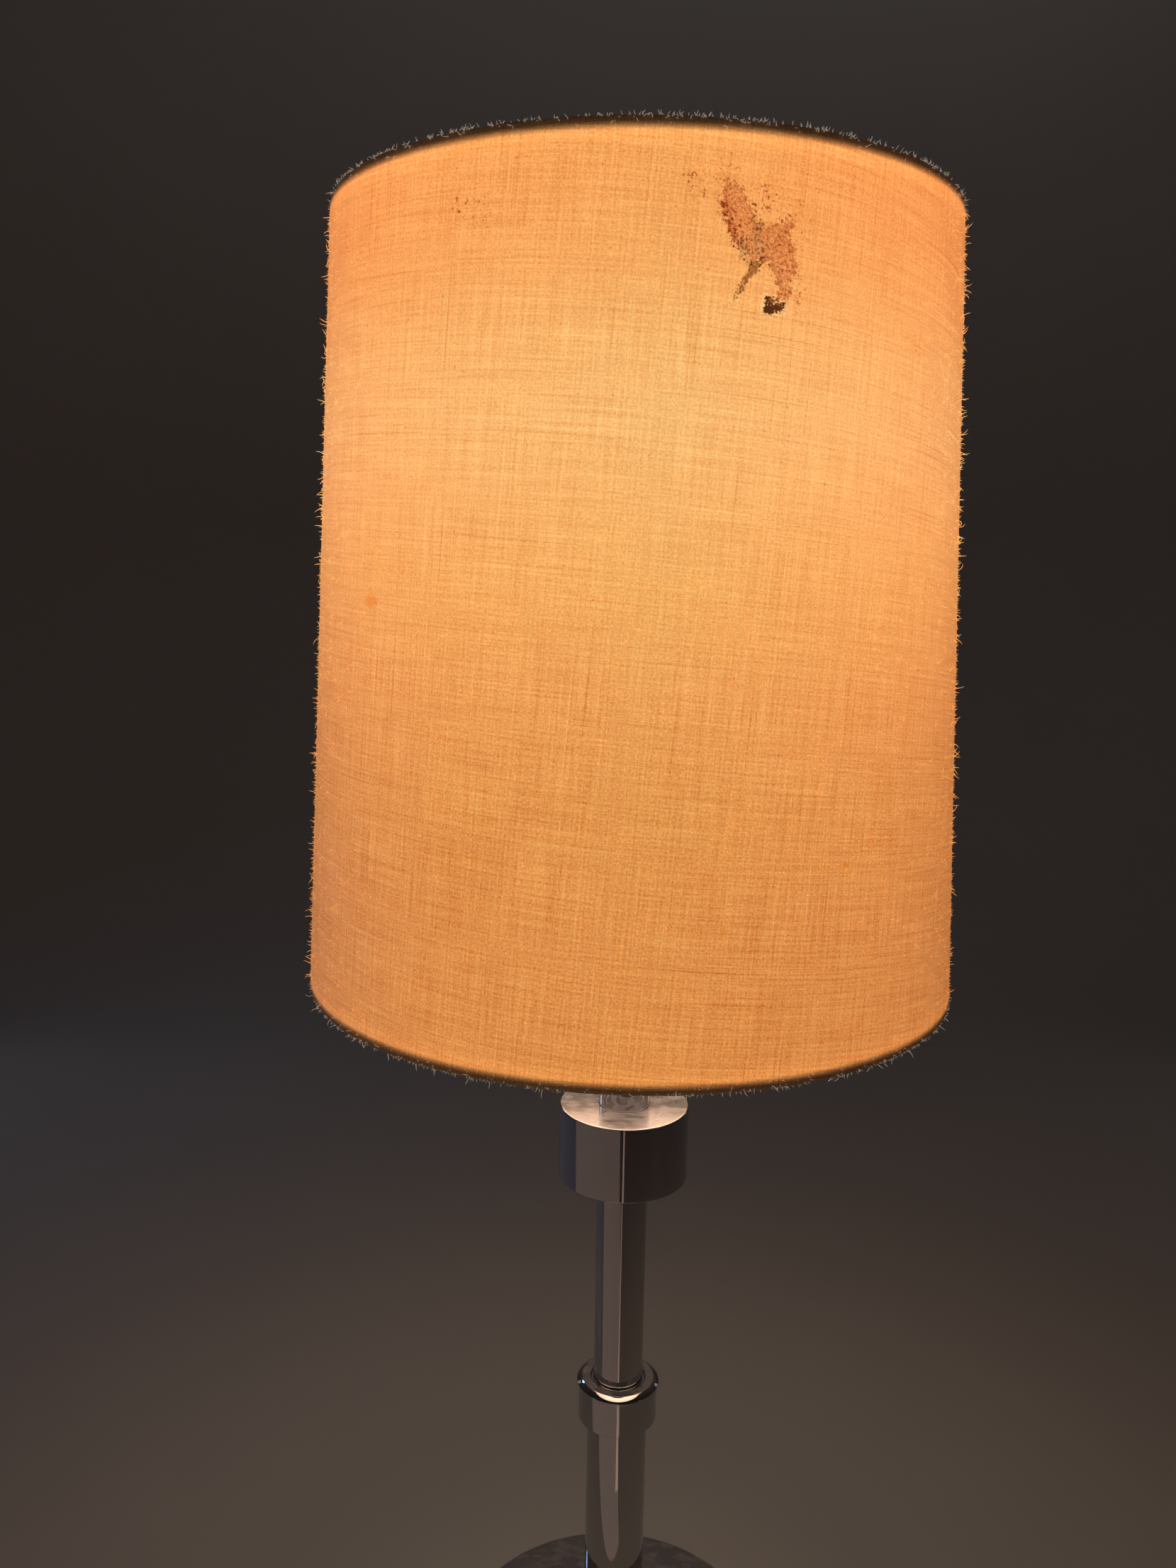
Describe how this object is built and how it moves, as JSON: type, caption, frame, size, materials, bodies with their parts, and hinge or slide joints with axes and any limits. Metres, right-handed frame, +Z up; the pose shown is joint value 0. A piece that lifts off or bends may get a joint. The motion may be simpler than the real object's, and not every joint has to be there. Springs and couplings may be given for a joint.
{
  "type": "table lamp",
  "caption": "Table lamp with a linen drum shade on a harp, a turned metal stem with collars and a round weighted base; the shade, finial, harp, bulb and switch key move.",
  "frame": {"origin": "centre of the felt under the base, on the surface that the lamp stands on", "axes": "+Z up along the stem, +X to the lamp's right seen from the front, -Y the front"},
  "size_m": [0.3052, 0.3052, 0.7755],
  "materials": {
    "chrome_stem": "polished",
    "chrome_base": "polished",
    "chrome_finial": "polished",
    "zinc_fasteners": "zinc plated",
    "base_weight": "as cast, painted black",
    "base_felt": "felt",
    "black_plastic": "moulded",
    "harp_brass": "lacquered",
    "fitter_brass": "lacquered",
    "socket_brass": "lacquered",
    "socket_card": "matt",
    "bulb_glass": "frosted inside",
    "bulb_stem": "clear",
    "bulb_shell": "satin",
    "filament": "matt",
    "shade_linen": "slubbed linen",
    "shade_styrene": "satin, lets light through"
  },
  "bodies": {
    "stand": {"base_felt": "base_felt", "base_weight": "base_weight", "base_cover": "chrome_base", "cord_bushing": "black_plastic", "base_nut": "zinc_fasteners", "base_lock_washer": "zinc_fasteners", "base_flange": "chrome_base", "lower_tube": "chrome_stem", "lower_collar": "chrome_stem", "upper_tube": "chrome_stem", "upper_collar": "chrome_stem", "upper_collar_plate": "chrome_stem", "upper_collar_spacer": "zinc_fasteners", "neck_tube": "chrome_stem", "neck_cap": "chrome_stem", "threaded_pipe": "zinc_fasteners", "harp_saddle": "harp_brass", "socket_cap": "socket_brass", "socket_shell": "socket_brass", "socket_liner": "socket_card", "socket_interior": "black_plastic", "socket_screw_shell": "socket_brass", "socket_tongue": "socket_brass", "terminal_screw_hot": "socket_brass", "terminal_screw_neutral": "zinc_fasteners"},
    "key": {"key_stem": "socket_brass", "key_knob": "black_plastic"},
    "bulb": {"bulb_glass": "bulb_glass", "bulb_screw_shell": "bulb_shell", "bulb_insulator": "black_plastic", "bulb_contact": "bulb_shell", "bulb_stem": "bulb_stem", "bulb_filament": "filament"},
    "harp": {"harp": "harp_brass"},
    "sleeve_left": {"harp_sleeve_left": "harp_brass"},
    "sleeve_right": {"harp_sleeve_right": "harp_brass"},
    "shade": {"shade_drum": "shade_linen", "top_fitter": "fitter_brass", "bottom_ring": "fitter_brass", "harp_stud": "harp_brass", "shade_lining": "shade_styrene"},
    "finial": {"finial": "chrome_finial"}
  },
  "joints": [
    {"name": "key_turn", "type": "hinge", "parent": "stand", "child": "key", "pos_m": [0, -0.03, 0.542], "axis": [0, -1, 0], "continuous": true},
    {"name": "bulb_unscrew", "type": "hinge", "parent": "stand", "child": "bulb", "pos_m": [0, 0, 0.579], "axis": [0, 0, 1], "range_deg": [0, 1080]},
    {"name": "harp_lift", "type": "slide", "parent": "stand", "child": "harp", "axis": [0, 0, 1], "range_m": [0, 0.02]},
    {"name": "sleeve_left_lift", "type": "slide", "parent": "harp", "child": "sleeve_left", "axis": [0, 0, 1], "range_m": [0, 0.02]},
    {"name": "sleeve_right_lift", "type": "slide", "parent": "harp", "child": "sleeve_right", "axis": [0, 0, 1], "range_m": [0, 0.02]},
    {"name": "shade_turn", "type": "hinge", "parent": "harp", "child": "shade", "pos_m": [0, 0, 0.7358], "axis": [0, 0, 1], "continuous": true},
    {"name": "finial_unscrew", "type": "hinge", "parent": "shade", "child": "finial", "pos_m": [0, 0, 0.7395], "axis": [0, 0, 1], "range_deg": [0, 3060]}
  ]
}
